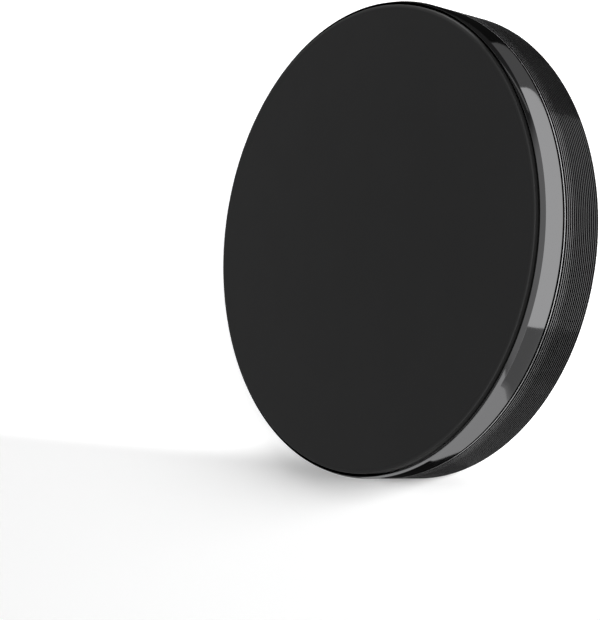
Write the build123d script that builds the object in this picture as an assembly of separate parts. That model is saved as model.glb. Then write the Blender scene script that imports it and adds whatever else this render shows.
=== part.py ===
from build123d import *
from math import asin, pi
import os

# A magnetic phone holder for a dashboard: a round metal puck, stuck down by its foam back.
# All lengths are in millimetres. The foam's sticking face lies on z = 0, and +Z is the puck's
# axis, towards the phone. Every height is stacked up from the foam's sticking face.

# Housing, outside
housing_diameter = 40.0
lip_bevel_width = 0.14
lip_bevel_height = 0.475
lip_land_width = 0.025
lip_corner_radius = 0.10
band_height = 1.825
rim_chamfer = 0.04
rim_land_height = 0.02

# Turned rings round the housing, the first ones wider than the rest
ring_depth = 0.10
wide_ring_pitch = 0.290
wide_ring_count = 2
ring_pitch = 0.2167

# Housing, inside
side_wall = 1.8
front_web_thickness = 0.8
plate_seat_width = 0.7
bore_mouth_chamfer = 0.15
bore_corner_chamfer = 0.20

# Face pad and the film under it
pad_thickness = 1.25
pad_edge_radius = 0.15
pad_side_gap = 0.235
pad_stand_proud = 0.24
pad_film_thickness = 0.10
pad_film_edge_margin = 0.60

# Magnets, a stock disc size
magnet_diameter = 10.0
magnet_thickness = 2.0
magnet_edge_chamfer = 0.20
magnet_side_clearance = 0.05
magnet_headroom = 0.10

# Moulded carrier
carrier_side_clearance = 0.10
carrier_lead_in_chamfer = 0.30
pocket_outer_wall = 1.05
pocket_between_wall = 1.80
skirt_wall = 0.8
hub_diameter = 3.8
centre_core_wall = 1.55
outer_core_diameter = 3.0
outer_core_wall = 0.8
core_floor_thickness = 0.6
rib_thickness = 0.8

# Steel plate behind the magnets
yoke_thickness = 1.0
yoke_edge_chamfer = 0.15
yoke_side_clearance = 0.10
hub_clearance = 0.10

# Back plate and mounting foam
back_plate_thickness = 1.0
back_plate_side_clearance = 0.08
back_plate_chamfer = 0.25
foam_thickness = 1.0
foam_sunk_depth = 0.40
foam_edge_gap = 0.90

# Radii that follow from the sizes above, from the outside in
housing_radius = housing_diameter / 2
recess_radius = housing_radius - lip_bevel_width - lip_land_width
pad_radius = recess_radius - pad_side_gap
pad_film_radius = pad_radius - pad_film_edge_margin
bore_radius = housing_radius - side_wall
plate_seat_radius = bore_radius + plate_seat_width
back_plate_radius = plate_seat_radius - back_plate_side_clearance
foam_radius = plate_seat_radius - foam_edge_gap
carrier_radius = bore_radius - carrier_side_clearance
skirt_radius = carrier_radius - skirt_wall
yoke_radius = skirt_radius - yoke_side_clearance
magnet_radius = magnet_diameter / 2
pocket_radius = magnet_radius + magnet_side_clearance
magnet_circle_radius = carrier_radius - pocket_outer_wall - pocket_radius
centre_core_radius = magnet_circle_radius - pocket_radius - centre_core_wall
outer_core_radius = outer_core_diameter / 2
outer_core_circle_radius = carrier_radius - outer_core_wall - outer_core_radius
hub_radius = hub_diameter / 2
yoke_hole_radius = hub_radius + hub_clearance

# As many magnets as fit round the carrier with their walls between them
magnet_pitch = 2 * pocket_radius + pocket_between_wall
magnet_count = int(pi / asin(magnet_pitch / (2 * magnet_circle_radius)))

# Heights, stacked from the foam's sticking face
rim_z = foam_thickness - foam_sunk_depth
back_plate_z = foam_thickness
yoke_z = back_plate_z + back_plate_thickness
magnet_z = yoke_z + yoke_thickness
magnet_top_z = magnet_z + magnet_thickness
bore_roof_z = magnet_top_z + magnet_headroom
recess_floor_z = bore_roof_z + front_web_thickness
pad_z = recess_floor_z + pad_film_thickness
pad_top_z = pad_z + pad_thickness
housing_top_z = pad_top_z - pad_stand_proud
band_top_z = housing_top_z - lip_bevel_height
band_bottom_z = band_top_z - band_height
lowest_crest_z = rim_z + rim_chamfer + rim_land_height


def turned(points, rounded=()):
    """Solid of revolution about Z of a closed outline of (radius, height) points.

    Each entry of rounded is an outline point and the radius of its corner.
    """
    with BuildPart() as part:
        with BuildSketch(Plane.XZ) as outline:
            with BuildLine():
                Polyline(*points, close=True)
            make_face()
            for (radial, height), corner_radius in rounded:
                corner = outline.vertices().sort_by_distance((radial, height, 0))[0]
                fillet(corner, corner_radius)
        revolve(axis=Axis.Z)
    return part.part


def ring_profile():
    """Crest and root points of the turned rings, from the band down to the rim."""
    crest_z = band_bottom_z
    points = [(housing_radius, crest_z)]
    pitch = wide_ring_pitch
    while crest_z - pitch >= lowest_crest_z:
        points.append((housing_radius - ring_depth, crest_z - pitch / 2))
        points.append((housing_radius, crest_z - pitch))
        crest_z -= pitch
        if len(points) > 2 * wide_ring_count:
            pitch = ring_pitch
    return points


def make_housing():
    """Turned cup: rings, band and lip outside, pad recess in front, stepped bore behind."""
    lip_corner = (housing_radius, band_top_z)
    outside = [
        (housing_radius - rim_chamfer, rim_z),
        (housing_radius, rim_z + rim_chamfer),
        *reversed(ring_profile()),
        lip_corner,
        (housing_radius - lip_bevel_width, housing_top_z),
    ]
    recess = [
        (recess_radius, housing_top_z),
        (recess_radius, recess_floor_z),
        (0, recess_floor_z),
    ]
    bore = [
        (0, bore_roof_z),
        (bore_radius - bore_corner_chamfer, bore_roof_z),
        (bore_radius, bore_roof_z - bore_corner_chamfer),
        (bore_radius, yoke_z),
        (plate_seat_radius, yoke_z),
        (plate_seat_radius, rim_z + bore_mouth_chamfer),
        (plate_seat_radius + bore_mouth_chamfer, rim_z),
    ]
    return turned(outside + recess + bore, [(lip_corner, lip_corner_radius)])


def make_face_pad():
    """Flat moulded pad whose front edge is rounded."""
    front_corner = (pad_radius, pad_top_z)
    outline = [
        (0, pad_z),
        (pad_radius, pad_z),
        front_corner,
        (0, pad_top_z),
    ]
    return turned(outline, [(front_corner, pad_edge_radius)])


def make_pad_adhesive():
    """Film disc under the pad, held back a little from the pad's edge."""
    outline = [
        (0, recess_floor_z),
        (pad_film_radius, recess_floor_z),
        (pad_film_radius, pad_z),
        (0, pad_z),
    ]
    return turned(outline)


def magnet_places():
    """Magnet centres, evenly round the carrier."""
    return PolarLocations(magnet_circle_radius, magnet_count)


def make_magnet(place):
    """One disc magnet with its edges broken, standing on the steel plate."""
    outline = [
        (0, magnet_z),
        (magnet_radius - magnet_edge_chamfer, magnet_z),
        (magnet_radius, magnet_z + magnet_edge_chamfer),
        (magnet_radius, magnet_top_z - magnet_edge_chamfer),
        (magnet_radius - magnet_edge_chamfer, magnet_top_z),
        (0, magnet_top_z),
    ]
    return place * turned(outline)


def make_carrier_blank():
    """Carrier before its pockets: a disc with a skirt round the steel plate and a hub through it."""
    outline = [
        (0, yoke_z),
        (hub_radius, yoke_z),
        (hub_radius, magnet_z),
        (skirt_radius, magnet_z),
        (skirt_radius, yoke_z),
        (carrier_radius, yoke_z),
        (carrier_radius, magnet_top_z - carrier_lead_in_chamfer),
        (carrier_radius - carrier_lead_in_chamfer, magnet_top_z),
        (0, magnet_top_z),
    ]
    return turned(outline)


def make_magnet_carrier():
    """Moulded tray with through pockets, and blind cores that leave a floor, ribs and a hub."""
    halfway_angle = 180 / magnet_count
    rib_reach = centre_core_radius + rib_thickness
    core_depth = magnet_thickness - core_floor_thickness
    with BuildPart() as carrier:
        add(make_carrier_blank())
        with BuildSketch(Plane.XY.offset(magnet_z)):
            with magnet_places():
                Circle(pocket_radius)
        extrude(amount=magnet_thickness, mode=Mode.SUBTRACT)
        with BuildSketch(Plane.XY.offset(magnet_top_z)):
            Circle(centre_core_radius)
            Circle(hub_radius, mode=Mode.SUBTRACT)
            with PolarLocations(rib_reach / 2, magnet_count, start_angle=halfway_angle):
                Rectangle(rib_reach, rib_thickness, mode=Mode.SUBTRACT)
            with PolarLocations(outer_core_circle_radius, magnet_count, start_angle=halfway_angle):
                Circle(outer_core_radius)
        extrude(amount=-core_depth, mode=Mode.SUBTRACT)
    return carrier.part


def make_yoke_plate():
    """Blanked steel disc with a hole for the carrier's hub."""
    outline = [
        (yoke_hole_radius, yoke_z),
        (yoke_radius - yoke_edge_chamfer, yoke_z),
        (yoke_radius, yoke_z + yoke_edge_chamfer),
        (yoke_radius, magnet_z),
        (yoke_hole_radius, magnet_z),
    ]
    return turned(outline)


def make_back_plate():
    """Moulded disc that closes the bore, with a lead-in chamfer towards its seat."""
    outline = [
        (0, back_plate_z),
        (back_plate_radius, back_plate_z),
        (back_plate_radius, yoke_z - back_plate_chamfer),
        (back_plate_radius - back_plate_chamfer, yoke_z),
        (0, yoke_z),
    ]
    return turned(outline)


def make_mounting_foam():
    """Die-cut disc of double-sided foam, part sunk inside the housing's rim."""
    outline = [
        (0, 0),
        (foam_radius, 0),
        (foam_radius, foam_thickness),
        (0, foam_thickness),
    ]
    return turned(outline)


def make_parts():
    """Every piece of the holder, by its name."""
    parts = {
        "housing": make_housing(),
        "face_pad": make_face_pad(),
        "pad_adhesive": make_pad_adhesive(),
        "magnet_carrier": make_magnet_carrier(),
        "yoke_plate": make_yoke_plate(),
        "back_plate": make_back_plate(),
        "mounting_foam": make_mounting_foam(),
    }
    for number, place in enumerate(magnet_places(), start=1):
        parts[f"magnet_{number}"] = make_magnet(place)
    return parts


os.makedirs("parts", exist_ok=True)
for name, solid in make_parts().items():
    export_step(solid, f"parts/{name}.step")
    print(f"{name} {solid.volume:.1f} mm3")
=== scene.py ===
import logging
import math
from dataclasses import dataclass, field
from enum import Enum
from functools import reduce

import bmesh
import bpy
from mathutils import Matrix, Vector


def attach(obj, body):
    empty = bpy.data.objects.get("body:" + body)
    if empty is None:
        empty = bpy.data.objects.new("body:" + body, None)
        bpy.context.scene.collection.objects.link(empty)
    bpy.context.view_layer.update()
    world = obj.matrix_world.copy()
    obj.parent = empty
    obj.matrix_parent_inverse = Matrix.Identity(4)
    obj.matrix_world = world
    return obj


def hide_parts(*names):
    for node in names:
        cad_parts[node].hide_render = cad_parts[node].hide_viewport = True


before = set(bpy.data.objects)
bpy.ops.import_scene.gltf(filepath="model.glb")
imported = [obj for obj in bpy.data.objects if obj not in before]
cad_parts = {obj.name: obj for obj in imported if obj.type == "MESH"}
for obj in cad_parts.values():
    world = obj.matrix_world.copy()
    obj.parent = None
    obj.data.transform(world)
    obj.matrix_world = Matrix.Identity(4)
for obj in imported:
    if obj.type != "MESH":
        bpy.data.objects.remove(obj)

LOG = logging.getLogger("phone_holder")
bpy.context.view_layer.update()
RING_FLAG = "ring_template"
MERGE_DISTANCE = 0.0000005
Point = tuple[float, float]
Span = tuple[float, float]
Run = tuple[Point, ...]
Colour = tuple[float, float, float]
Defaults = tuple[tuple[str, float], ...]
Node = bpy.types.Node
Socket = bpy.types.NodeSocket
Sockets = bpy.types.bpy_prop_collection


class ShellInput(Enum):
    """Inputs of the turned shell tree; a turned piece's fields have the same names in small letters."""

    CREST_RADIUS = "Crest radius"
    RINGS_TOP = "Rings top"
    WIDE_PITCH = "Wide ring pitch"
    WIDE_COUNT = "Wide ring count"
    FINE_PITCH = "Fine ring pitch"
    FINE_COUNT = "Fine ring count"
    PATH_RADIUS = "Path radius"
    SEGMENTS = "Segments"
    SHARP_ANGLE = "Sharp angle"
    MATERIAL = "Material"


def opaque(colour: Colour) -> tuple[float, float, float, float]:
    """The colour with an alpha of 1, as a colour socket takes it."""
    return (*colour, 1.0)


def grey(level: float) -> tuple[float, float, float, float]:
    """A neutral colour of that linear level, as a colour socket takes it."""
    return opaque((level, level, level))


def scaled(colour: Colour, factor: float) -> Colour:
    """The colour made lighter or darker by a factor."""
    return tuple(min(1.0, factor * level) for level in colour)


@dataclass
class NodeBench:
    """Adds nodes to one node tree and joins them up."""

    tree: bpy.types.NodeTree

    def add(self, kind: str, feeds: dict[object, object] | None = None, **settings: object) -> Node:
        """Adds a node.

        Args:
            kind: the node's Blender type name.
            feeds: a socket or a plain value for each input, by name or number.
            settings: properties set on the node itself.

        Returns:
            The new node.
        """
        node = self.tree.nodes.new(kind)
        for name, value in settings.items():
            setattr(node, name, value)
        self.supply(node, feeds or {})
        return node

    def supply(self, node: Node, feeds: dict[object, object]) -> None:
        """Joins sockets to a node's inputs, or sets the inputs' own values.

        Args:
            node: the node.
            feeds: a socket or a plain value for each input, by name or number.
        """
        for key, source in feeds.items():
            if isinstance(source, Socket):
                self.tree.links.new(source, node.inputs[key])
            else:
                node.inputs[key].default_value = source

    def math(self, operation: str, *values: object, clamp: bool = False) -> Socket:
        """One Math node on sockets or numbers, kept from 0 to 1 where clamp says so."""
        feeds = dict(enumerate(values))
        return self.add("ShaderNodeMath", feeds, operation=operation, use_clamp=clamp).outputs[0]

    def times(self, *values: object) -> Socket:
        """The product of sockets or numbers."""
        return reduce(lambda product, value: self.math("MULTIPLY", product, value), values)

    def plus(self, first: object, second: object) -> Socket:
        """The sum of two sockets or numbers."""
        return self.math("ADD", first, second)

    def minus(self, first: object, second: object) -> Socket:
        """The first socket or number less the second."""
        return self.math("SUBTRACT", first, second)

    def over(self, first: object, second: object, clamp: bool = False) -> Socket:
        """The first socket or number divided by the second."""
        return self.math("DIVIDE", first, second, clamp=clamp)

    def ramp(self, value: object, low: object, high: object, start: object = 0.0, end: object = 1.0) -> Socket:
        """A smooth step from start to end, as value goes from low to high."""
        feeds = {"Value": value, "From Min": low, "From Max": high, "To Min": start, "To Max": end}
        return self.add("ShaderNodeMapRange", feeds, interpolation_type="SMOOTHSTEP").outputs["Result"]

    def blend(self, factor: object, first: object, second: object) -> Socket:
        """A colour that goes from first to second as factor goes from 0 to 1."""
        first, second = (opaque(colour) if isinstance(colour, tuple) else colour for colour in (first, second))
        return self.add("ShaderNodeMix", {0: factor, 6: first, 7: second}, data_type="RGBA").outputs[2]

    def switch(self, factor: object, first: object, second: object) -> Socket:
        """A number that goes from first to second as factor goes from 0 to 1."""
        return self.add("ShaderNodeMix", {0: factor, 2: first, 3: second}, data_type="FLOAT").outputs[0]

    def vector(self, x: object, y: object, z: object) -> Socket:
        """A vector made of three sockets or numbers."""
        return self.add("ShaderNodeCombineXYZ", {0: x, 1: y, 2: z}).outputs[0]

    def axes(self, vector: Socket) -> Sockets:
        """The sockets X, Y and Z of a vector."""
        return self.add("ShaderNodeSeparateXYZ", {0: vector}).outputs

    def object_point(self) -> Socket:
        """The surface point in the object's own coordinates."""
        return self.add("ShaderNodeTexCoord").outputs["Object"]

    def bump(self, height: Socket, depth: float) -> Socket:
        """The normal of a surface whose height of 1 is depth metres."""
        return self.add("ShaderNodeBump", {"Distance": depth, "Height": height}).outputs[0]


def emptied(holder: bpy.types.Material | bpy.types.World) -> NodeBench:
    """Empties the node tree of a material or of the surroundings.

    Args:
        holder: the material or the world.

    Returns:
        The bench for its tree.
    """
    holder.use_nodes = True
    holder.node_tree.nodes.clear()
    return NodeBench(holder.node_tree)


def linked(name: str, data: bpy.types.ID) -> bpy.types.Object:
    """Puts a new object in the scene.

    Args:
        name: the object's name.
        data: its mesh, lamp or camera.

    Returns:
        The object.
    """
    made = bpy.data.objects.new(name, data)
    bpy.context.scene.collection.objects.link(made)
    return made


def staged(name: str, outline: list[Vector], material: bpy.types.Material) -> bpy.types.Object:
    """Makes a staging object of one face.

    Args:
        name: the object's name.
        outline: the face's corners.
        material: its material.

    Returns:
        The object.
    """
    mesh = bpy.data.meshes.new(name)
    mesh.from_pydata(outline, [], [tuple(range(len(outline)))])
    mesh.materials.append(material)
    made = linked(name, mesh)
    return made


@dataclass
class EffectGroup:
    """A shader node group shared by several finishes."""

    name: str
    inputs: Defaults
    outputs: tuple[str, ...]
    tree: bpy.types.NodeTree = field(init=False)
    bench: NodeBench = field(init=False)
    source: Node = field(init=False)
    sink: Node = field(init=False)

    def __post_init__(self) -> None:
        """Makes the empty group with its sockets, then fills it."""
        self.tree = bpy.data.node_groups.new(self.name, "ShaderNodeTree")
        for name, value in self.inputs:
            socket = self.tree.interface.new_socket(name, in_out="INPUT", socket_type="NodeSocketFloat")
            socket.default_value = value
        for name in self.outputs:
            self.tree.interface.new_socket(name, in_out="OUTPUT", socket_type="NodeSocketFloat")
        self.bench = NodeBench(self.tree)
        self.source = self.bench.add("NodeGroupInput")
        self.sink = self.bench.add("NodeGroupOutput")
        self.fill()

    def fill(self) -> None:
        """Builds the inside of the group; each effect has its own."""

    def read(self, name: str) -> Socket:
        """The group's own input of that name."""
        return self.source.outputs[name]

    def place(self, bench: NodeBench, **values: object) -> Sockets:
        """Places the group in a material; the values are named as its inputs, with underscores."""
        feeds = {name.replace("_", " ").capitalize(): value for name, value in values.items()}
        return bench.add("ShaderNodeGroup", feeds, node_tree=self.tree).outputs

    def coordinates(self) -> tuple[Socket, Socket, Socket]:
        """Reads the surface point.

        Returns:
            The object point, its radius about the axis, and its height.
        """
        bench, point = self.bench, self.bench.object_point()
        axes = bench.axes(point)
        squares = [bench.times(axes[axis], axes[axis]) for axis in ("X", "Y")]
        return point, bench.math("SQRT", bench.plus(*squares)), axes["Z"]

    def cloud(self, point: Socket, scale: object, detail: float) -> Socket:
        """A noise over the surface."""
        feeds = {"Vector": point, "Scale": scale, "Detail": detail}
        return self.bench.add("ShaderNodeTexNoise", feeds).outputs[0]

    def cells(self, point: Socket, scale: object) -> Sockets:
        """The outputs of a pattern of scattered cells over the surface."""
        return self.bench.add("ShaderNodeTexVoronoi", {"Vector": point, "Scale": scale}).outputs


@dataclass
class LatheMarks(EffectGroup):
    """Fine marks that run round a turned piece, as a tool leaves them."""

    name: str = "lathe marks"
    inputs: Defaults = (("Spacing", 0.00006), ("Sway", 0.3))
    outputs: tuple[str, ...] = ("Height", "Patches")
    height_share: float = 1.37
    coarse_share: float = 0.23
    fine_weight: float = 0.6
    patch_scale: float = 160.0
    patch_span: Span = (0.35, 0.70)

    def line(self, steps: Socket, detail: float, weight: float) -> Socket:
        """A noise along the profile, times its weight."""
        feeds = {"W": steps, "Scale": 1.0, "Detail": detail}
        noise = self.bench.add("ShaderNodeTexNoise", feeds, noise_dimensions="1D")
        return self.bench.times(noise.outputs[0], weight)

    def fill(self) -> None:
        """Stacks a fine and a coarse noise along the profile, with slow changes round the turn."""
        bench = self.bench
        point, radius, height = self.coordinates()
        along = bench.plus(radius, bench.times(height, self.height_share))
        steps = bench.over(along, self.read("Spacing"))
        fine = self.line(steps, 2.0, self.fine_weight)
        coarse = self.line(bench.times(steps, self.coarse_share), 1.0, 1.0 - self.fine_weight)
        slow = self.cloud(point, self.patch_scale, 3.0)
        steady = bench.minus(1.0, bench.times(slow, self.read("Sway")))
        marks = bench.times(bench.plus(fine, coarse), steady)
        bench.supply(self.sink, {"Height": marks, "Patches": bench.ramp(slow, *self.patch_span)})


@dataclass
class GrooveShade(EffectGroup):
    """How deep a point lies below the crests of the turned rings, and how far up the rings it is."""

    name: str = "groove shade"
    inputs: Defaults = (("Crest radius", 0.02), ("Depth", 0.0001), ("Lowest", 0.0008), ("Highest", 0.0048))
    outputs: tuple[str, ...] = ("Depth", "Rings", "Rise")

    def fill(self) -> None:
        """Reads the radius and the height, and keeps the mask between the lowest and highest ring."""
        bench = self.bench
        _, radius, height = self.coordinates()
        deepest, low, high = self.read("Depth"), self.read("Lowest"), self.read("Highest")
        below = bench.minus(self.read("Crest radius"), radius)
        near = bench.math("LESS_THAN", below, bench.times(deepest, 2.0))
        above, under = bench.math("GREATER_THAN", height, low), bench.math("LESS_THAN", height, high)
        rings = bench.times(above, under, near)
        depth = bench.times(bench.over(below, deepest, clamp=True), rings)
        rise = bench.over(bench.minus(height, low), bench.minus(high, low), clamp=True)
        bench.supply(self.sink, {"Depth": depth, "Rings": rings, "Rise": rise})


@dataclass
class FineGrain(EffectGroup):
    """Small even grain of a moulded, sprayed or foamed surface."""

    name: str = "fine grain"
    inputs: Defaults = (("Size", 0.0001), ("Pits", 0.2))
    outputs: tuple[str, ...] = ("Height", "Patches")
    pit_share: float = 0.55
    pit_span: Span = (0.05, 0.45)
    patch_scale: float = 190.0
    patch_span: Span = (0.34, 0.68)

    def fill(self) -> None:
        """Adds rounded pits to a fine noise, and makes slow patches."""
        bench = self.bench
        point, _, _ = self.coordinates()
        scale = bench.over(1.0, self.read("Size"))
        far = self.cells(point, bench.times(scale, self.pit_share))["Distance"]
        pits = bench.times(bench.ramp(far, *self.pit_span), self.read("Pits"))
        height = bench.plus(self.cloud(point, scale, 2.5), pits)
        patches = bench.ramp(self.cloud(point, self.patch_scale, 4.0), *self.patch_span)
        bench.supply(self.sink, {"Height": height, "Patches": patches})


@dataclass
class HandlingDust(EffectGroup):
    """Sparse specks: dust on a part that has been handled, or a foam's open cells."""

    name: str = "handling dust"
    inputs: Defaults = (("Size", 0.0004), ("Amount", 0.12))
    outputs: tuple[str, ...] = ("Specks",)
    speck_span: Span = (0.04, 0.16)

    def fill(self) -> None:
        """Keeps the middles of a few scattered cells."""
        bench = self.bench
        point, _, _ = self.coordinates()
        cells = self.cells(point, bench.over(1.0, self.read("Size")))
        chosen = bench.add("ShaderNodeSeparateColor", {0: cells["Color"]})
        picked = bench.math("LESS_THAN", chosen.outputs[0], self.read("Amount"))
        middle = bench.ramp(cells["Distance"], *self.speck_span, 1.0, 0.0)
        bench.supply(self.sink, {"Specks": bench.times(picked, middle)})


@dataclass
class PaintedEdgeLightAndShade(EffectGroup):
    """Radial masks for painted light and shade: a painted highlight on the rounded edge of a round piece, and
    painted shade on the side wall outside it or inside a recess.
    """

    name: str = "painted edge light and shade"
    inputs: Defaults = (
        ("Starts", 0.019), ("Full", 0.0192), ("Fades", 0.0193), ("Gone", 0.0194), ("Breakup", 0.4),
    )
    outputs: tuple[str, ...] = ("Haze", "Side")
    cloud_scale: float = 420.0

    def fill(self) -> None:
        """Fades in and out with the radius, broken up by a slow noise."""
        bench = self.bench
        point, radius, _ = self.coordinates()
        rise = bench.ramp(radius, self.read("Starts"), self.read("Full"))
        side = bench.ramp(radius, self.read("Fades"), self.read("Gone"))
        loss = bench.times(self.cloud(point, self.cloud_scale, 3.0), self.read("Breakup"))
        haze = bench.times(rise, bench.minus(1.0, loss), bench.minus(1.0, side))
        bench.supply(self.sink, {"Haze": haze, "Side": side})

    def between(self, bench: NodeBench, edge: Span, side: Span, breakup: float) -> Sockets:
        """Places the group with the radii of the edge and of the side wall."""
        return self.place(bench, starts=edge[0], full=edge[1], fades=side[0], gone=side[1], breakup=breakup)


@dataclass
class EffectShelf:
    """The shared effects, each built once."""

    marks: LatheMarks = field(default_factory=LatheMarks)
    grooves: GrooveShade = field(default_factory=GrooveShade)
    grain: FineGrain = field(default_factory=FineGrain)
    dust: HandlingDust = field(default_factory=HandlingDust)
    haze: PaintedEdgeLightAndShade = field(default_factory=PaintedEdgeLightAndShade)


@dataclass(frozen=True)
class Finish:
    """What every finish of the holder has."""

    name: str
    colour: Colour
    roughness: float

    def material(self, shelf: EffectShelf) -> bpy.types.Material:
        """Makes the material.

        Args:
            shelf: the shared effects.

        Returns:
            The finished material.
        """
        made = bpy.data.materials.new(self.name)
        bench = emptied(made)
        shader = bench.add("ShaderNodeBsdfPrincipled", self.dress(bench, shelf))
        bench.add("ShaderNodeOutputMaterial", {"Surface": shader.outputs[0]})
        return made

    def dress(self, bench: NodeBench, shelf: EffectShelf) -> dict[str, object]:
        """Works out the finish; each has its own.

        Args:
            bench: the material's bench.
            shelf: the shared effects.

        Returns:
            A socket or a plain value for each of the shader's inputs.
        """
        return {"Base Color": opaque(self.colour), "Roughness": self.roughness}

    def uneven(self, bench: NodeBench, mask: Socket, change: float) -> Socket:
        """The finish's roughness, changed by change where the mask is 1."""
        return bench.plus(bench.times(mask, change), self.roughness)


@dataclass(frozen=True)
class PolishedTurnedMetal(Finish):
    """Dark plated aluminium, polished on the band and rougher down in the rings, with painted light and shade
    on the ring crests and painted shade in the grooves and the recess.
    """

    name: str = "polished_turned_metal"
    colour: Colour = (0.30, 0.30, 0.305)
    roughness: float = 0.075
    patch_roughness: float = 0.02
    groove_colour: Colour = (0.001, 0.001, 0.001)
    groove_span: Span = (0.02, 0.20)
    first_ring_colour: Colour = (0.85, 0.85, 0.86)
    first_ring_span: Span = (0.88, 0.93)
    upper_ring_colour: Colour = (0.42, 0.42, 0.425)
    upper_ring_span: Span = (0.62, 0.82)
    fine_ring_colour: Colour = (0.21, 0.21, 0.213)
    ring_roughness: float = 0.24
    crest_radius: float = 0.020
    ring_depth: float = 0.0001
    rings_low: float = 0.00060
    rings_high: float = 0.004665
    recess_span: Span = (0.019835, 0.019845)
    clear_span: Span = (0.040, 0.044)
    mark_spacing: float = 0.00005
    mark_sway: float = 0.4
    mark_depth: float = 0.00000035
    grazing_level: float = 0.70

    def dress(self, bench: NodeBench, shelf: EffectShelf) -> dict[str, object]:
        """Paints light and shade on the ring crests, brightest on the first rings, paints shade into the
        grooves and the recess as black non-metal, and gives the band its marks.
        """
        sizes = {"crest_radius": self.crest_radius, "depth": self.ring_depth}
        shade = shelf.grooves.place(bench, **sizes, lowest=self.rings_low, highest=self.rings_high)
        marks = shelf.marks.place(bench, spacing=self.mark_spacing, sway=self.mark_sway)
        # painted light and shade: the ring crests get lighter with height, a painted highlight on the first and
        # upper rings over painted shade on the fine rings below
        upper = bench.ramp(shade["Rise"], *self.upper_ring_span)
        first = bench.ramp(shade["Rise"], *self.first_ring_span)
        crest = bench.blend(upper, self.fine_ring_colour, self.upper_ring_colour)
        crest = bench.blend(first, crest, self.first_ring_colour)
        metal = bench.blend(shade["Rings"], self.colour, crest)
        # painted shade: the groove bottoms and the inside of the recess are black and not metal, standing in
        # for the shade that falls there
        groove = bench.ramp(shade["Depth"], *self.groove_span)
        outside = shelf.haze.between(bench, self.recess_span, self.clear_span, 0.0)["Haze"]
        dark = bench.math("MAXIMUM", groove, bench.minus(1.0, outside))
        extra = bench.times(shade["Rings"], self.ring_roughness - self.roughness)
        return {
            "Base Color": bench.blend(dark, metal, self.groove_colour),
            "Metallic": bench.minus(1.0, dark),
            "Specular IOR Level": 0.0,
            "Specular Tint": grey(self.grazing_level),
            "Roughness": bench.plus(extra, self.uneven(bench, marks["Patches"], self.patch_roughness)),
            "Normal": bench.bump(marks["Height"], self.mark_depth),
        }


@dataclass(frozen=True)
class GrainedFinish(Finish):
    """A moulded, foamed or filmy finish with a grain, patches and specks."""

    grain_size: float = 0.00018
    pits: float = 0.5
    patch_roughness: float = 0.12
    grain_depth: float = 0.000008
    speck_size: float = 0.0004
    speck_amount: float = 0.12

    def specks(self, bench: NodeBench, shelf: EffectShelf) -> Socket:
        """The mask of the finish's specks."""
        return shelf.dust.place(bench, size=self.speck_size, amount=self.speck_amount)["Specks"]

    def tint(self, bench: NodeBench, patches: Socket, shelf: EffectShelf) -> Socket:
        """The colour, which is lighter in the grain's patches."""
        return bench.blend(patches, self.colour, scaled(self.colour, 1.25))

    def dress(self, bench: NodeBench, shelf: EffectShelf) -> dict[str, object]:
        """Sets the colour, the grain and its slight change of gloss."""
        grain = shelf.grain.place(bench, size=self.grain_size, pits=self.pits)
        return {
            "Base Color": self.tint(bench, grain["Patches"], shelf),
            "Roughness": self.uneven(bench, grain["Patches"], self.patch_roughness),
            "Normal": bench.bump(grain["Height"], self.grain_depth),
        }


@dataclass(frozen=True)
class MouldedPlastic(GrainedFinish):
    """Moulded black plastic with a fine spark-eroded grain."""

    name: str = "moulded_plastic"
    colour: Colour = (0.018, 0.018, 0.019)
    roughness: float = 0.42


@dataclass(frozen=True)
class FoamTape(GrainedFinish):
    """Black closed-cell foam with a tacky skin."""

    name: str = "foam_tape"
    colour: Colour = (0.022, 0.022, 0.022)
    roughness: float = 0.7
    grain_size: float = 0.00025
    pits: float = 1.4
    patch_roughness: float = -0.2
    grain_depth: float = 0.00003
    speck_size: float = 0.0007
    speck_amount: float = 0.5
    cell_colour: Colour = (0.008, 0.008, 0.008)

    def tint(self, bench: NodeBench, patches: Socket, shelf: EffectShelf) -> Socket:
        """The colour, which is darker in the cut cells."""
        return bench.blend(self.specks(bench, shelf), self.colour, self.cell_colour)


@dataclass(frozen=True)
class AdhesiveFilm(GrainedFinish):
    """Milky adhesive film."""

    name: str = "adhesive_film_finish"
    colour: Colour = (0.62, 0.60, 0.55)
    roughness: float = 0.35
    grain_size: float = 0.0004
    pits: float = 0.8
    patch_roughness: float = 0.15
    grain_depth: float = 0.000005
    speck_size: float = 0.0009
    speck_amount: float = 0.3

    def tint(self, bench: NodeBench, patches: Socket, shelf: EffectShelf) -> Socket:
        """The colour, which is paler over small trapped bubbles."""
        return bench.blend(self.specks(bench, shelf), self.colour, scaled(self.colour, 1.2))


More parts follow.
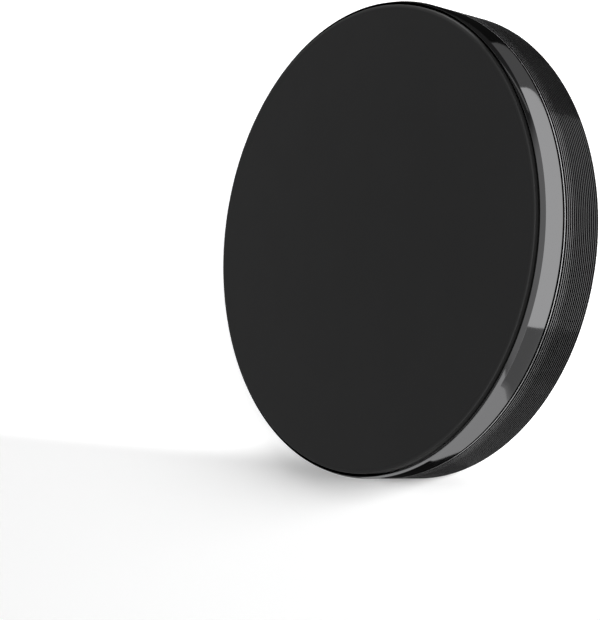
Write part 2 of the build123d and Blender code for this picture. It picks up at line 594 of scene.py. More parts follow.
@dataclass(frozen=True)
class SoftTouchRubber(GrainedFinish):
    """Matt black rubber of the face pad, with a very fine grain, a painted highlight on its rounded edge,
    painted shade on its side wall, and both painted lighter on one side.
    """

    name: str = "soft_touch_rubber"
    colour: Colour = (0.0162, 0.0162, 0.0164)
    roughness: float = 0.80
    grain_size: float = 0.00012
    pits: float = 0.15
    patch_roughness: float = -0.05
    grain_depth: float = 0.000004
    speck_size: float = 0.0011
    speck_amount: float = 0.05
    worn_colour: Colour = (0.0177, 0.0177, 0.0180)
    worn_share: float = 0.35
    edge_colour: Colour = (0.0180, 0.0180, 0.0182)
    side_colour: Colour = (0.0065, 0.0065, 0.0065)
    rubbed_edge_colour: Colour = (0.034, 0.034, 0.034)
    rubbed_side_colour: Colour = (0.085, 0.085, 0.085)
    rubbed_span: Span = (0.0135, 0.0175)
    edge_span: Span = (0.01925, 0.01950)
    side_span: Span = (0.01954, 0.0196)
    edge_breakup: float = 0.2
    edge_gloss: float = 0.9

    def tint(self, bench: NodeBench, patches: Socket, shelf: EffectShelf) -> Socket:
        """The face's colour, slightly worn in patches and specks."""
        worn = bench.math("ADD", bench.times(patches, self.worn_share), self.specks(bench, shelf), clamp=True)
        return bench.blend(worn, self.colour, self.worn_colour)

    def dress(self, bench: NodeBench, shelf: EffectShelf) -> dict[str, object]:
        """Adds the satin edge with its painted highlight, the side wall's painted shade, a painted highlight
        towards +Y on both, and the sheen to the grained face.
        """
        feeds = super().dress(bench, shelf)
        # painted highlight on the rounded edge, and painted shade on the side wall below it
        haze = shelf.haze.between(bench, self.edge_span, self.side_span, self.edge_breakup)
        # painted highlight: the edge and the side wall are lighter towards +Y, the top side
        top_side_highlight = bench.ramp(bench.axes(bench.object_point())["Y"], *self.rubbed_span)
        edge = bench.blend(top_side_highlight, self.edge_colour, self.rubbed_edge_colour)
        edge = bench.blend(haze["Haze"], feeds["Base Color"], edge)
        side = bench.blend(top_side_highlight, self.side_colour, self.rubbed_side_colour)
        return feeds | {
            "Base Color": bench.blend(haze["Side"], edge, side),
            "Specular IOR Level": 0.3,
            "Sheen Weight": 0.06,
            "Sheen Roughness": 0.45,
            "Coat Weight": bench.times(haze["Haze"], self.edge_gloss),
            "Coat Roughness": 0.30,
        }


@dataclass(frozen=True)
class WorkedMetal(Finish):
    """Plain or plated metal with marks from rolling or turning."""

    name: str = "worked_metal"
    colour: Colour = (0.55, 0.55, 0.56)
    roughness: float = 0.3
    mark_spacing: float = 0.00012
    mark_sway: float = 0.6
    mark_roughness: float = 0.12
    mark_depth: float = 0.000002
    stain: float = 0.82

    def dress(self, bench: NodeBench, shelf: EffectShelf) -> dict[str, object]:
        """Sets the marks and slightly stained patches."""
        marks = shelf.marks.place(bench, spacing=self.mark_spacing, sway=self.mark_sway)
        return {
            "Base Color": bench.blend(marks["Patches"], self.colour, scaled(self.colour, self.stain)),
            "Metallic": 1.0,
            "Roughness": self.uneven(bench, marks["Height"], self.mark_roughness),
            "Normal": bench.bump(marks["Height"], self.mark_depth),
        }


@dataclass(frozen=True)
class Corner:
    """One corner of a turned outline, with the rounding of its edge."""

    radius: float
    height: float
    rounding: float = 0.0
    steps: int = 3

    @property
    def spot(self) -> Vector:
        """The corner as a plane vector."""
        return Vector((self.radius, self.height))


def rounded_outline(*corners: Corner) -> list[Point]:
    """Rounds the corners of an open outline.

    Args:
        corners: the corners in order; the first and last stay as they are.

    Returns:
        The outline's points as (radius, height).
    """
    points: list[Point] = [tuple(corners[0].spot)]
    for before, corner, after in zip(corners, corners[1:], corners[2:]):
        if corner.rounding == 0.0:
            points.append(tuple(corner.spot))
            continue
        back = (before.spot - corner.spot).normalized()
        ahead = (after.spot - corner.spot).normalized()
        half = back.angle(ahead) / 2
        centre = corner.spot + (back + ahead).normalized() * (corner.rounding / math.sin(half))
        start = corner.spot + back * (corner.rounding / math.tan(half)) - centre
        end = corner.spot + ahead * (corner.rounding / math.tan(half)) - centre
        sweep = start.angle_signed(end)
        for step in range(corner.steps + 1):
            turned = Matrix.Rotation(-sweep * step / corner.steps, 2) @ start
            points.append(tuple(centre + turned))
    points.append(tuple(corners[-1].spot))
    return points


@dataclass
class TurnedShellTree:
    """The Geometry Nodes tree that turns an outline and its repeated rings into a closed shell."""

    name: str = "turned shell"
    tree: bpy.types.NodeTree = field(init=False)
    bench: NodeBench = field(init=False)
    source: Node = field(init=False)

    def __post_init__(self) -> None:
        """Builds the tree once."""
        self.tree = bpy.data.node_groups.new(self.name, "GeometryNodeTree")
        interface = self.tree.interface
        interface.new_socket("Geometry", in_out="INPUT", socket_type="NodeSocketGeometry")
        kinds = {
            ShellInput.WIDE_COUNT: "NodeSocketInt",
            ShellInput.FINE_COUNT: "NodeSocketInt",
            ShellInput.SEGMENTS: "NodeSocketInt",
            ShellInput.MATERIAL: "NodeSocketMaterial",
        }
        for entry in ShellInput:
            interface.new_socket(entry.value, in_out="INPUT", socket_type=kinds.get(entry, "NodeSocketFloat"))
        interface.new_socket("Geometry", in_out="OUTPUT", socket_type="NodeSocketGeometry")
        self.bench = NodeBench(self.tree)
        self.source = self.bench.add("NodeGroupInput")
        self.bench.add("NodeGroupOutput", {0: self.finished(self.revolved(self.outline()))})

    def read(self, entry: ShellInput) -> Socket:
        """The tree's own input of that name."""
        return self.source.outputs[entry.value]

    def merged(self, geometry: Socket) -> Socket:
        """Merges points that lie on each other."""
        feeds = {"Geometry": geometry, "Distance": MERGE_DISTANCE}
        return self.bench.add("GeometryNodeMergeByDistance", feeds).outputs[0]

    def rings(self, template: Socket, top: Socket, pitch: Socket, count: Socket) -> Socket:
        """Stacks copies of one ring's outline downwards.

        Args:
            template: the outline of one ring, one unit high.
            top: the height of the first ring's upper crest.
            pitch: the height of one ring.
            count: how many rings there are.

        Returns:
            The instances.
        """
        bench = self.bench
        start = bench.vector(self.read(ShellInput.CREST_RADIUS), 0.0, top)
        offset = bench.vector(0.0, 0.0, bench.times(pitch, -1.0))
        feeds = {"Count": count, "Start Location": start, "Offset": offset}
        line = bench.add("GeometryNodeMeshLine", feeds, mode="OFFSET", count_mode="TOTAL")
        feeds = {"Points": line.outputs[0], "Instance": template, "Scale": bench.vector(1.0, 1.0, pitch)}
        return bench.add("GeometryNodeInstanceOnPoints", feeds).outputs[0]

    def outline(self) -> Socket:
        """Joins the plain outline and its rings into one chain.

        Returns:
            The chain as a curve in the XZ plane.
        """
        bench = self.bench
        flag = bench.add("GeometryNodeInputNamedAttribute", {"Name": RING_FLAG}, data_type="BOOLEAN")
        feeds = {"Geometry": self.source.outputs["Geometry"], "Selection": flag.outputs["Attribute"]}
        parts = bench.add("GeometryNodeSeparateGeometry", feeds, domain="POINT")
        template, plain = parts.outputs[0], parts.outputs[1]
        top, pitch, count = map(self.read, (ShellInput.RINGS_TOP, ShellInput.WIDE_PITCH, ShellInput.WIDE_COUNT))
        wide = self.rings(template, top, pitch, count)
        top = bench.minus(top, bench.times(pitch, count))
        fine = self.rings(template, top, self.read(ShellInput.FINE_PITCH), self.read(ShellInput.FINE_COUNT))
        joined = bench.add("GeometryNodeJoinGeometry")
        for part in (fine, wide, plain):
            bench.supply(joined, {0: part})
        real = bench.add("GeometryNodeRealizeInstances", {0: joined.outputs[0]})
        return bench.add("GeometryNodeMeshToCurve", {0: self.merged(real.outputs[0])}).outputs[0]

    def revolved(self, outline: Socket) -> Socket:
        """Turns the outline about the axis, and closes the poles.

        Args:
            outline: the curve in the XZ plane.

        Returns:
            The closed shell.
        """
        bench = self.bench
        radius = self.read(ShellInput.PATH_RADIUS)
        shift = bench.vector(bench.times(radius, -1.0), 0.0, 0.0)
        feeds = {"Geometry": outline, "Translation": shift, "Rotation": (math.pi / 2, 0.0, 0.0)}
        lay = bench.add("GeometryNodeTransform", feeds)
        feeds = {"Resolution": self.read(ShellInput.SEGMENTS), "Radius": radius}
        path = bench.add("GeometryNodeCurvePrimitiveCircle", feeds, mode="RADIUS")
        feeds = {"Curve": path.outputs[0], "Profile Curve": lay.outputs[0]}
        return self.merged(bench.add("GeometryNodeCurveToMesh", feeds).outputs[0])

    def finished(self, shell: Socket) -> Socket:
        """Smooths the shell between its edges, and gives it its material.

        Args:
            shell: the closed shell.

        Returns:
            The finished geometry.
        """
        bench = self.bench
        feeds = {"Geometry": shell, "Shade Smooth": True}
        smooth = bench.add("GeometryNodeSetShadeSmooth", feeds, domain="FACE")
        bend = bench.add("GeometryNodeInputMeshEdgeAngle").outputs["Unsigned Angle"]
        sharp = bench.add("FunctionNodeCompare", data_type="FLOAT", operation="GREATER_THAN")
        bench.supply(sharp, {"A": bend, "B": self.read(ShellInput.SHARP_ANGLE)})
        feeds = {"Geometry": smooth.outputs[0], "Selection": sharp.outputs[0], "Shade Smooth": False}
        edges = bench.add("GeometryNodeSetShadeSmooth", feeds, domain="EDGE")
        real = bench.add("GeometryNodeRealizeInstances", {0: edges.outputs[0]})
        feeds = {"Geometry": real.outputs[0], "Material": self.read(ShellInput.MATERIAL)}
        return bench.add("GeometryNodeSetMaterial", feeds).outputs[0]

    def turn(
        self, name: str, runs: list[list[Point]], ring: list[Point], values: dict[ShellInput, object]
    ) -> bpy.types.Object:
        """Makes one closed turned piece.

        Args:
            name: the piece's name.
            runs: the outline's plain runs as (radius, height), in order.
            ring: one ring's outline as (radius step, unit height), or nothing.
            values: the tree's inputs for this piece.

        Returns:
            The piece as a plain mesh object at the origin.
        """
        mesh = bpy.data.meshes.new(name + "_outline")
        points: list[Vector] = []
        edges: list[tuple[int, int]] = []
        flags: list[bool] = []
        for run, is_ring in [(run, False) for run in runs] + [(ring, True)] * bool(ring):
            first = len(points)
            points += [Vector((x, 0.0, z)) for x, z in run]
            edges += [(first + i, first + i + 1) for i in range(len(run) - 1)]
            flags += [is_ring] * len(run)
        mesh.from_pydata(points, edges, [])
        mesh.attributes.new(RING_FLAG, "BOOLEAN", "POINT").data.foreach_set("value", flags)
        piece = linked(name, mesh)
        modifier = piece.modifiers.new("turn", "NODES")
        modifier.node_group = self.tree
        identifiers = {s.name: s.identifier for s in self.tree.interface.items_tree if s.in_out == "INPUT"}
        for entry, value in values.items():
            modifier[identifiers[entry.value]] = value
        graph = bpy.context.evaluated_depsgraph_get()
        plain = bpy.data.meshes.new_from_object(
            piece.evaluated_get(graph), preserve_all_data_layers=True, depsgraph=graph
        )
        piece.modifiers.remove(modifier)
        piece.data = plain
        bpy.data.meshes.remove(mesh)
        plain.name = name
        point_outwards(plain)
        return piece


def point_outwards(mesh: bpy.types.Mesh) -> None:
    """Turns the faces of a closed shell outwards."""
    work = bmesh.new()
    work.from_mesh(mesh)
    bmesh.ops.recalc_face_normals(work, faces=work.faces)
    if work.calc_volume(signed=True) < 0:
        bmesh.ops.reverse_faces(work, faces=work.faces)
    work.to_mesh(mesh)
    work.free()


@dataclass
class TurnedPiece:
    """What every piece turned about the holder's axis has; each gives its own outline."""

    name: str
    slot: str
    node: str
    finish: Finish
    sharp_angle: float
    segments: int = 256
    path_radius: float = 0.001
    crest_radius: float = 0.0
    rings_top: float = 0.0
    wide_pitch: float = 0.0
    wide_count: int = 0
    fine_pitch: float = 0.0
    fine_count: int = 0

    def runs(self) -> list[list[Point]]:
        """The plain runs of the piece's outline, in order."""
        return []

    def ring(self) -> list[Point]:
        """The outline of one repeated ring, or nothing."""
        return []

    def build(self, tree: TurnedShellTree, shelf: EffectShelf) -> bpy.types.Object:
        """Args:
            tree: the turned shell tree.
            shelf: the shared effects.

        Returns:
            The finished piece.
        """
        sizes = [entry for entry in ShellInput if entry is not ShellInput.MATERIAL]
        values: dict[ShellInput, object] = {entry: getattr(self, entry.name.lower()) for entry in sizes}
        values[ShellInput.MATERIAL] = self.finish.material(shelf)
        piece = tree.turn(self.name, self.runs(), self.ring(), values)
        self.declare(piece)
        triangles = sum(len(face.vertices) - 2 for face in piece.data.polygons)
        LOG.info("%s: %d triangles, replaces %s", piece.name, triangles, self.node)
        return piece

    def declare(self, piece: bpy.types.Object) -> None:
        """Hides the CAD node the piece stands for, and hangs the piece on the root body.

        Args:
            piece: the finished piece.
        """
        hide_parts(self.node)
        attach(piece, "root")


@dataclass
class Housing(TurnedPiece):
    """The turned metal cup: rings, polished band and lip outside, pad recess in front, bore behind."""

    name: str = "housing_shell"
    slot: str = "housing_metal"
    node: str = "housing"
    finish: Finish = PolishedTurnedMetal()
    sharp_angle: float = math.radians(32)
    crest_radius: float = 0.020
    rim_height: float = 0.0006
    rim_chamfer: float = 0.00004
    lowest_crest: float = 0.0006628
    rings_top: float = 0.00471
    ring_depth: float = 0.0001
    wide_pitch: float = 0.00029
    wide_count: int = 2
    fine_pitch: float = 0.0002167
    fine_count: int = 16
    band_top: float = 0.006535
    band_rounding: float = 0.0001
    top: float = 0.00701
    lip_inner: float = 0.019835
    lip_inner_rounding: float = 0.00001
    lip_crest: float = 0.01986
    lip_crest_rounding: float = 0.00003
    recess_floor: float = 0.0059
    recess_rounding: float = 0.00006
    bore_roof: float = 0.0051
    bore_radius: float = 0.0182
    bore_chamfer: float = 0.0002
    seat_radius: float = 0.0189
    seat_height: float = 0.0020
    seat_chamfer: float = 0.00015
    seat_rounding: float = 0.00003

    def front_run(self) -> list[Point]:
        """The outline from the recess's middle out over the lip and down the band."""
        return rounded_outline(
            Corner(0.0, self.recess_floor),
            Corner(self.lip_inner, self.recess_floor, self.recess_rounding),
            Corner(self.lip_inner, self.top, self.lip_inner_rounding, 2),
            Corner(self.lip_crest, self.top, self.lip_crest_rounding, 4),
            Corner(self.crest_radius, self.band_top, self.band_rounding, 6),
            Corner(self.crest_radius, self.rings_top),
        )

    def back_run(self) -> list[Point]:
        """The outline from under the rings round the rim and up the bore to its roof."""
        return rounded_outline(
            Corner(self.crest_radius, self.lowest_crest),
            Corner(self.crest_radius, self.rim_height + self.rim_chamfer),
            Corner(self.crest_radius - self.rim_chamfer, self.rim_height),
            Corner(self.seat_radius + self.seat_chamfer, self.rim_height, self.seat_rounding),
            Corner(self.seat_radius, self.rim_height + self.seat_chamfer, self.seat_rounding),
            Corner(self.seat_radius, self.seat_height),
            Corner(self.bore_radius, self.seat_height),
            Corner(self.bore_radius, self.bore_roof - self.bore_chamfer),
            Corner(self.bore_radius - self.bore_chamfer, self.bore_roof),
            Corner(0.0, self.bore_roof),
        )

    def runs(self) -> list[list[Point]]:
        """The runs above and below the rings."""
        return [self.front_run(), self.back_run()]

    def ring(self) -> list[Point]:
        """One ring from crest to crest, one unit high: flat crests, broken edges and a rounded root."""
        half = [(0.0, 0.0), (0.0, 0.08), (0.13, 0.11), (0.85, 0.35), (0.98, 0.44)]
        down = [(-share * self.ring_depth, -unit) for share, unit in half]
        up = [(x, -1.0 - unit) for x, unit in reversed(down)]
        return down + [(-self.ring_depth, -0.5)] + up


@dataclass
class FacePad(TurnedPiece):
    """The flat moulded pad in the housing's recess, with its rounded front edge."""

    name: str = "face_pad_moulding"
    slot: str = "pad_rubber"
    node: str = "face_pad"
    finish: Finish = SoftTouchRubber()
    sharp_angle: float = math.radians(40)
    radius: float = 0.0196
    bottom: float = 0.0060
    bottom_rounding: float = 0.00005
    top: float = 0.00725
    top_rounding: float = 0.00015
    face_loops: tuple[float, ...] = (0.012, 0.006)

    def runs(self) -> list[list[Point]]:
        """The pad's outline from the middle of its back to the middle of its face."""
        outline = rounded_outline(
            Corner(0.0, self.bottom),
            Corner(self.radius, self.bottom, self.bottom_rounding),
            Corner(self.radius, self.top, self.top_rounding, 12),
            *(Corner(radius, self.top) for radius in self.face_loops),
            Corner(0.0, self.top),
        )
        return [outline]


@dataclass
class MountingFoam(TurnedPiece):
    """The die-cut foam disc on the back, pinched in a little by the cut."""

    name: str = "mounting_foam_disc"
    slot: str = "foam_black"
    node: str = "mounting_foam"
    finish: Finish = FoamTape()
    sharp_angle: float = math.radians(50)
    segments: int = 192
    radius: float = 0.018
    thickness: float = 0.001
    pinch: float = 0.00006
    bottom_rounding: float = 0.00012
    top_rounding: float = 0.00008
    face_loop: float = 0.009

    def runs(self) -> list[list[Point]]:
        """The foam's outline, from the middle of its sticking face to the middle of its other face."""
        outline = rounded_outline(
            Corner(0.0, 0.0),
            Corner(self.face_loop, 0.0),
            Corner(self.radius, 0.0, self.bottom_rounding, 4),
            Corner(self.radius - self.pinch, self.thickness / 2),
            Corner(self.radius, self.thickness, self.top_rounding),
            Corner(0.0, self.thickness),
        )
        return [outline]

    def declare(self, piece: bpy.types.Object) -> None:
        super().declare(piece)


@dataclass
class InnerStack:
    """The pieces inside the housing, which keep their CAD shapes and get their finishes here."""

    magnet_carrier: Finish = MouldedPlastic(name="carrier_plastic_finish", colour=(0.028, 0.028, 0.030))
    back_plate: Finish = MouldedPlastic(name="back_plastic_finish", roughness=0.44, grain_size=0.00022)
    yoke_plate: Finish = WorkedMetal(name="yoke_steel_finish", colour=(0.42, 0.41, 0.40), roughness=0.36)
    pad_adhesive: Finish = AdhesiveFilm()
    magnets: Finish = WorkedMetal(name="magnet_plating_finish", colour=(0.62, 0.60, 0.57), roughness=0.16)

    def dress(self, shelf: EffectShelf) -> None:
        """Gives each CAD node its material; a field is named after its node, and the magnets share one.

        Args:
            shelf: the shared effects.
        """
        made = {name: finish.material(shelf) for name, finish in vars(self).items()}
        plating = made.pop("magnets")
        made |= {name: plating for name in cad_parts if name.startswith("magnet_") and name not in made}
        for name, material in made.items():
            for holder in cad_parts[name].material_slots:
                holder.material = material
            LOG.info("%s: dressed with %s", name, material.name)


@dataclass(frozen=True)
class Softbox:
    """A studio lamp aimed at the holder, which reflections don't show."""

    name: str
    azimuth: float
    elevation: float
    distance: float
    width: float
    height: float
    brightness: float

    def place(self) -> None:
        """Hangs the lamp, with its power from its brightness and its size."""
        data = bpy.data.lights.new(self.name, "AREA")
        data.shape = "RECTANGLE"
        data.size, data.size_y = self.width, self.height
        data.energy = self.brightness * math.pi * self.width * self.height
        lamp = linked(self.name, data)
        lamp.visible_glossy = False
        across, up = math.radians(self.azimuth), math.radians(self.elevation)
        spot = Vector((math.cos(across) * math.cos(up), math.sin(across) * math.cos(up), math.sin(up)))
        lamp.location = spot * self.distance
        lamp.rotation_euler = (-spot).to_track_quat("-Z", "Y").to_euler()


@dataclass(frozen=True)
class SkyPatch:
    """A soft-edged patch of the surroundings that only reflections show."""

    level: float
    spans: tuple[tuple[str, float, float], ...]

    def shade(self, bench: NodeBench, axes: Sockets) -> Socket:
        """The patch's level in the direction with those axes, which falls to 0 outside the patch."""
        return bench.times(*(bench.ramp(axes[axis], low, high) for axis, low, high in self.spans), self.level)


def softened(run: Run, rounds: int = 2) -> Run:
    """Cuts the corners of an open run of points, and keeps its two ends.

    Args:
        run: the points in order.
        rounds: how many times the corners are cut.

    Returns:
        The softer run.
    """
    for _ in range(rounds):
        cut: list[Point] = [run[0]]
        for (ax, ay), (bx, by) in zip(run, run[1:]):
            cut += [(near * ax + (1 - near) * bx, near * ay + (1 - near) * by) for near in (0.75, 0.25)]
        run = (*cut, run[-1])
    return run


def arc(radius: float, start: float, end: float, steps: int = 24) -> Run:
    """Points in equal steps on a circle about the holder's axis, between two azimuths in degrees."""
    turns = [math.radians(start + (end - start) * step / steps) for step in range(steps + 1)]
    return tuple((radius * math.cos(turn), radius * math.sin(turn)) for turn in turns)


def strip(run: Run, growth: float) -> Run:
    """A closed strip between a run of points and the same run scaled up by growth."""
    smooth = softened(run)
    return (*smooth, *((growth * x, growth * y) for x, y in reversed(smooth)))


def shifted(run: Run, step: float) -> Run:
    """The run moved by step along both axes."""
    return tuple((x + step, y + step) for x, y in run)


@dataclass(frozen=True)
class FlagCard:
    """A card flat on the floor that only reflections show, with its outline and lift in millimetres."""

    name: str
    level: float
    outline: Run
    lift: float = 0.05

    def place(self) -> None:
        """Lays the card."""
        made = bpy.data.materials.new(self.name + "_card")
        bench = emptied(made)
        glow = bench.add("ShaderNodeEmission", {"Color": grey(self.level)})
        bench.add("ShaderNodeOutputMaterial", {"Surface": glow.outputs[0]})
        card = staged(self.name, [Vector((x, y, self.lift)) * 0.001 for x, y in self.outline], made)
        for ray in ("camera", "diffuse", "shadow", "transmission", "volume_scatter"):
            setattr(card, "visible_" + ray, False)


@dataclass
class FlagPlan:
    """The cards' levels and outlines: low ones are seen in the lower half of the band, high ones above."""

    fade_count: int = 6
    fade_middle: int = 3
    fade_shift: float = 0.3
    fade_level: float = 0.60
    fade_drop: float = 0.07
    fade_lift: float = 0.045
    fade_lift_drop: float = 0.004
    raised_lift: float = 0.08
    sunk_lift: float = 0.015
    near_rim: float = 29.0
    band_rim: float = 29.5
    far_rim: float = 60.0
    low_grey_edge: Run = (
        (14.8, -10.9), (16.47, -12.13), (16.86, -13.19), (17.33, -14.46), (17.69, -15.43), (16.45, -16.72),
        (15.28, -17.50), (15.61, -17.52), (16.63, -17.56), (17.71, -17.6), (20.47, -21.23),
    )
    low_grey_rim: Run = (
        (38.9, -40.3), (29.4, -40.5), (21.1, -39.7), (16.6, -39.1), (11.4, -37.3), (6.9, -35.3), (4.0, -32.8),
    )
    low_grey_end: Run = ((4.0, -24.0), (4.82, -21.45), (5.66, -20.65), (6.76, -19.59))
    low_white_edge: Run = (
        (17.6, -7.0), (18.95, -8.05), (20.39, -9.26), (21.63, -10.31), (22.8, -11.28), (26.29, -13.38),
    )
    low_near_arc: Run = ((17.69, -15.43), (18.91, -14.25), (20.42, -12.23), (21.58, -10.26))
    low_black_outline: Run = (
        (7.98, -20.94), (7.69, -21.16), (6.64, -21.75), (5.27, -22.38), (4.2, -22.83), (4.0, -24.6),
        (-5.0, -24.3), (-4.4, -21.0), (-1.8, -20.75), (2.5, -21.1), (6.0, -20.9),
    )
    low_sliver_outline: Run = (
        (6.9, -35.3), (0.5, -33.0), (-5.0, -30.5), (-9.0, -27.5), (-8.5, -25.2), (-4.0, -26.2), (1.0, -26.8),
        (4.5, -27.0),
    )
    far_corner: Run = ((-18.8, -1.5), (-15.0, -11.5), (-3.0, -18.6), (6.8, -17.4))
    far_side: Run = ((-18.3, 4.0), (-12.0, 14.3), (0.0, 18.7), (7.0, 17.4))
    high_white_edge: Run = (
        (17.3, 7.8), (18.19, 9.39), (18.83, 11.29), (19.67, 12.49), (18.62, 14.0), (17.94, 15.0), (17.8, 15.82),
        (17.88, 16.44), (20.86, 20.86),
    )
    high_black_edge: Run = (
        (13.4, 13.2), (14.41, 14.31), (13.74, 16.35), (13.16, 18.12), (12.25, 18.74), (11.69, 19.31),
        (11.23, 20.32), (12.93, 26.51),
    )
    high_near_arc: Run = ((19.36, 12.85), (17.38, 14.99), (15.17, 16.8), (13.18, 18.04))
    black_near_arc: Run = ((13.18, 18.04), (10.26, 19.34), (6.84, 20.19), (3.46, 20.4), (0.25, 20.02))
    high_line_rim: Run = ((29.1, 24.4), (26.3, 28.2), (23.5, 32.4), (20.4, 36.7), (15.6, 36.8))
    high_line_growth: float = 1.075

    def fades(self) -> list[FlagCard]:
        """The stack of cards that softens the lower grey field's edge."""
        cards = []
        for step in range(self.fade_count):
            edge = shifted(softened(self.low_grey_edge), self.fade_shift * (step - self.fade_middle))
            level = self.fade_level - self.fade_drop * step
            lift = self.fade_lift - self.fade_lift_drop * step
            cards.append(FlagCard(f"low_fade_{step}_flag", level, (*edge, *self.low_grey_rim), lift))
        return cards

    def ring_cards(self) -> list[FlagCard]:
        """The cards close to the holder, which the rings and the band's lower edge show."""
        low_start, low_end = self.low_grey_edge, self.low_white_edge
        high_start, high_end = self.high_white_edge, self.high_black_edge
        low = (*low_start[:2], low_start[3], *self.low_near_arc, low_end[2], low_end[0])
        high = (*high_start[:3], *self.high_near_arc, *reversed(high_end[:3]))
        black = (*high_end[1:3], *self.black_near_arc, (-12.0, 16.5), *self.far_side[1:])
        return [
            FlagCard("low_black_flag", 0.012, softened(self.low_black_outline), self.raised_lift),
            FlagCard("low_rings_flag", 0.50, low, self.raised_lift),
            FlagCard("high_rings_flag", 0.15, high, self.raised_lift),
            FlagCard("black_rings_flag", 0.03, black, self.raised_lift),
        ]

    def band_cards(self) -> list[FlagCard]:
        """The cards that give the band its light, grey and black fields."""
        grey_edge, white_edge = softened(self.low_grey_edge), softened(self.low_white_edge)
        light_edge, black_edge = softened(self.high_white_edge), softened(self.high_black_edge)
        low_grey = (*grey_edge, *self.low_grey_rim, *self.low_grey_end, (7.69, -17.0))
        low_dark = (*white_edge, *arc(self.band_rim, -28, -45), *reversed(grey_edge))
        far_dark = (*reversed(self.low_grey_end), *arc(self.near_rim, -83, -175), *self.far_corner)
        high_dark = (*light_edge, *arc(self.band_rim, 46, 63), *reversed(black_edge))
        return [
            FlagCard("low_grey_flag", 0.66, low_grey),
            FlagCard("low_dark_flag", 0.20, low_dark, self.sunk_lift),
            FlagCard("far_dark_flag", 0.25, far_dark),
            FlagCard("high_dark_flag", 0.20, high_dark),
            FlagCard("high_black_flag", 0.012, (*black_edge, *arc(self.band_rim, 65, 175), *self.far_side)),
        ]

    def lip_cards(self) -> list[FlagCard]:
        """The cards further out, which the lip shows."""
        low_far = (*arc(self.near_rim, -85, -175), *arc(self.far_rim, -175, -46))
        high_far = (*arc(self.band_rim, 41, 175), *arc(self.far_rim, 175, 41))
        line = strip(self.high_line_rim, self.high_line_growth)
        return [
            FlagCard("low_lip_flag", 0.04, (*self.low_grey_rim, *low_far)),
            FlagCard("high_lip_flag", 0.04, high_far),
            FlagCard("high_line_flag", 0.30, line, self.raised_lift),
            FlagCard("low_sliver_flag", 0.66, self.low_sliver_outline, self.raised_lift),
        ]

    def place(self) -> int:
        """Lays every card.

        Returns:
            How many cards there are.
        """
        cards = [*self.fades(), *self.ring_cards(), *self.band_cards(), *self.lip_cards()]
        for card in cards:
            card.place()
        return len(cards)


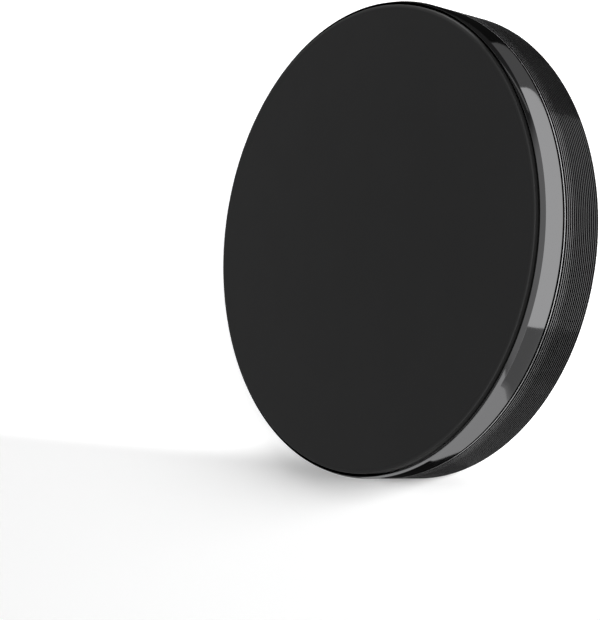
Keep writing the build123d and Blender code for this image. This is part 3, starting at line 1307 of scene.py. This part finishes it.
@dataclass
class Studio:
    """The pale floor, the even surroundings, the lamps and the flag cards."""

    floor_radius: float = 3.0
    floor_corners: int = 96
    floor_colour: Colour = (0.90, 0.90, 0.90)
    near_lift: float = 0.18
    near_span: Span = (0.0198, 0.0216)
    sweep_lift: float = 0.75
    sweep_span: Span = (-0.0204, -0.0172)
    far_span: Span = (0.100, 0.170)
    pool_span: Span = (0.029, 0.038)
    front_span: Span = (0.68, 0.86)
    front_turn: float = 0.12
    dark_level: float = 0.04
    least_distance: float = 0.0001
    world_level: float = 0.15
    world_share: float = 0.8
    world_span: Span = (0.25, 0.65)
    front_patch: SkyPatch = SkyPatch(0.31, (("X", 0.30, 0.65), ("Z", 0.66, 0.54)))
    patches: tuple[SkyPatch, ...] = (
        SkyPatch(0.66, (("Y", -0.45, -0.80), ("Z", 0.14, 0.05))),
        SkyPatch(0.12, (("X", 0.05, -0.30), ("Y", 0.17, 0.30), ("Z", 0.40, 0.56), ("X", -0.75, -0.60))),
        SkyPatch(0.30, (("Y", -0.50, -0.72), ("Z", 0.40, 0.56))),
    )
    softboxes: tuple[Softbox, ...] = (
        Softbox("key_softbox", 10.0, 22.0, 1.80, 0.45, 1.12, 40.0),
        Softbox("fill_softbox", -58.0, 25.0, 0.90, 0.60, 0.50, 3.2),
    )
    cards: FlagPlan = field(default_factory=FlagPlan)

    def floor_shown(self, bench: NodeBench, distance: Socket, side: Socket, camera: Socket) -> Socket:
        """The floor as the camera sees it and as it lights the holder.

        Args:
            bench: the floor's bench.
            distance: the point's distance from the axis.
            side: the point's Y.
            camera: whether the ray comes from the camera.

        Returns:
            The shader: matt, and lifted to white for the camera, with its shadow kept below a line across the
                floor; the lift falls away beside the rim, a painted contact shadow, and above the line it is
                painted light that hides the shadow.
        """
        matt = bench.add("ShaderNodeBsdfDiffuse", {"Color": opaque(self.floor_colour)})
        # painted contact shadow: the camera's lift falls to nothing beside the rim
        near = bench.ramp(distance, *self.near_span, 0.0, self.near_lift)
        # painted light: on one side of a line across the floor the lift hides the holder's shadow
        raised = bench.ramp(side, *self.sweep_span, near, self.sweep_lift)
        raised = bench.math("MAXIMUM", raised, bench.ramp(distance, *self.far_span))
        lift = bench.add("ShaderNodeEmission", {"Strength": bench.times(camera, raised)})
        return bench.add("ShaderNodeAddShader", {0: matt.outputs[0], 1: lift.outputs[0]}).outputs[0]

    def floor_mirrored(self, bench: NodeBench, distance: Socket, along: Socket, side: Socket) -> Socket:
        """The floor as reflections show it.

        Args:
            bench: the floor's bench.
            distance: the point's distance from the axis.
            along: the point's X.
            side: the point's Y.

        Returns:
            The shader: a white pool round the holder, grey in front of it and dark elsewhere.
        """
        away = bench.plus(distance, self.least_distance)
        turned = bench.minus(bench.over(along, away), bench.times(bench.over(side, away), self.front_turn))
        front = bench.ramp(turned, *self.front_span, self.dark_level, self.front_patch.level)
        pool = bench.ramp(distance, *self.pool_span, 1.0, front)
        return bench.add("ShaderNodeEmission", {"Strength": pool}).outputs[0]

    def floor(self) -> None:
        """Lays the floor."""
        made = bpy.data.materials.new("floor_white")
        bench = emptied(made)
        path = bench.add("ShaderNodeLightPath").outputs
        point = bench.object_point()
        distance = bench.add("ShaderNodeVectorMath", {0: point}, operation="LENGTH").outputs["Value"]
        axes = bench.axes(point)
        feeds = {
            0: bench.math("MAXIMUM", path["Is Glossy Ray"], path["Is Transmission Ray"]),
            1: self.floor_shown(bench, distance, axes["Y"], path["Is Camera Ray"]),
            2: self.floor_mirrored(bench, distance, axes["X"], axes["Y"]),
        }
        mixed = bench.add("ShaderNodeMixShader", feeds)
        bench.add("ShaderNodeOutputMaterial", {"Surface": mixed.outputs[0]})
        turns = [math.tau * corner / self.floor_corners for corner in range(self.floor_corners)]
        rim = [Vector((math.cos(turn), math.sin(turn), 0.0)) * self.floor_radius for turn in turns]
        staged("studio_floor", rim, made)

    def world(self) -> None:
        """Sets the surroundings: white to the camera, grey as light, and patchy in reflections."""
        made = bpy.data.worlds.new("studio_surroundings")
        bpy.context.scene.world = made
        bench = emptied(made)
        path = bench.add("ShaderNodeLightPath").outputs
        axes = bench.axes(bench.add("ShaderNodeTexCoord").outputs["Generated"])
        mirrored = bench.plus(self.front_patch.shade(bench, axes), self.dark_level)
        for patch in self.patches:
            mirrored = bench.math("MAXIMUM", mirrored, patch.shade(bench, axes))
        light = bench.ramp(axes["Y"], *self.world_span, self.world_level, 0.0)
        light = bench.times(bench.switch(path["Is Glossy Ray"], light, mirrored), self.world_share)
        strength = bench.switch(path["Is Camera Ray"], light, 1.0)
        back = bench.add("ShaderNodeBackground", {"Color": grey(1.0), "Strength": strength})
        bench.add("ShaderNodeOutputWorld", {"Surface": back.outputs[0]})

    def build(self) -> None:
        """Sets up the whole studio."""
        self.floor()
        self.world()
        for softbox in self.softboxes:
            softbox.place()
        count = self.cards.place()
        LOG.info("studio: floor, surroundings, %d softboxes, %d cards", len(self.softboxes), count)


@dataclass(frozen=True)
class PhotoCamera:
    """The camera at the photograph's place, with its axes and its focal length in pixels."""

    place: tuple[float, float, float] = (0.08958, -0.01355, 0.08453)
    right: tuple[float, float, float] = (0.62404, 0.03985, -0.78037)
    back: tuple[float, float, float] = (0.78102, -0.06211, 0.62143)
    focal_pixels: float = 1417.6
    image_height: int = 620
    sensor: float = 36.0
    clip: Span = (0.002, 20.0)

    def build(self) -> None:
        """Makes the camera and hands it to the scene."""
        data = bpy.data.cameras.new("photo_camera")
        data.sensor_width = self.sensor
        data.lens = self.sensor * self.focal_pixels / self.image_height
        data.clip_start, data.clip_end = self.clip
        camera = linked("photo_camera", data)
        back = Vector(self.back).normalized()
        up = back.cross(Vector(self.right)).normalized()
        turn = Matrix((up.cross(back), up, back)).transposed()
        camera.matrix_world = Matrix.Translation(Vector(self.place)) @ turn.to_4x4()
        bpy.context.scene.camera = camera


@dataclass
class PhoneHolder:
    """The whole holder, sub-assembly by sub-assembly."""

    turned: tuple[TurnedPiece, ...] = field(default_factory=lambda: (Housing(), FacePad(), MountingFoam()))
    inside: InnerStack = field(default_factory=InnerStack)

    def build(self) -> None:
        """Builds every piece in order."""
        shelf = EffectShelf()
        tree = TurnedShellTree()
        for piece in self.turned:
            piece.build(tree, shelf)
        self.inside.dress(shelf)


def main() -> None:
    """Builds the camera, the studio and the holder."""
    logging.basicConfig(level=logging.INFO, format="%(name)s: %(message)s")
    bpy.context.scene.view_settings.view_transform = "Standard"
    PhotoCamera().build()
    Studio().build()
    PhoneHolder().build()


if __name__ == "__main__":
    main()
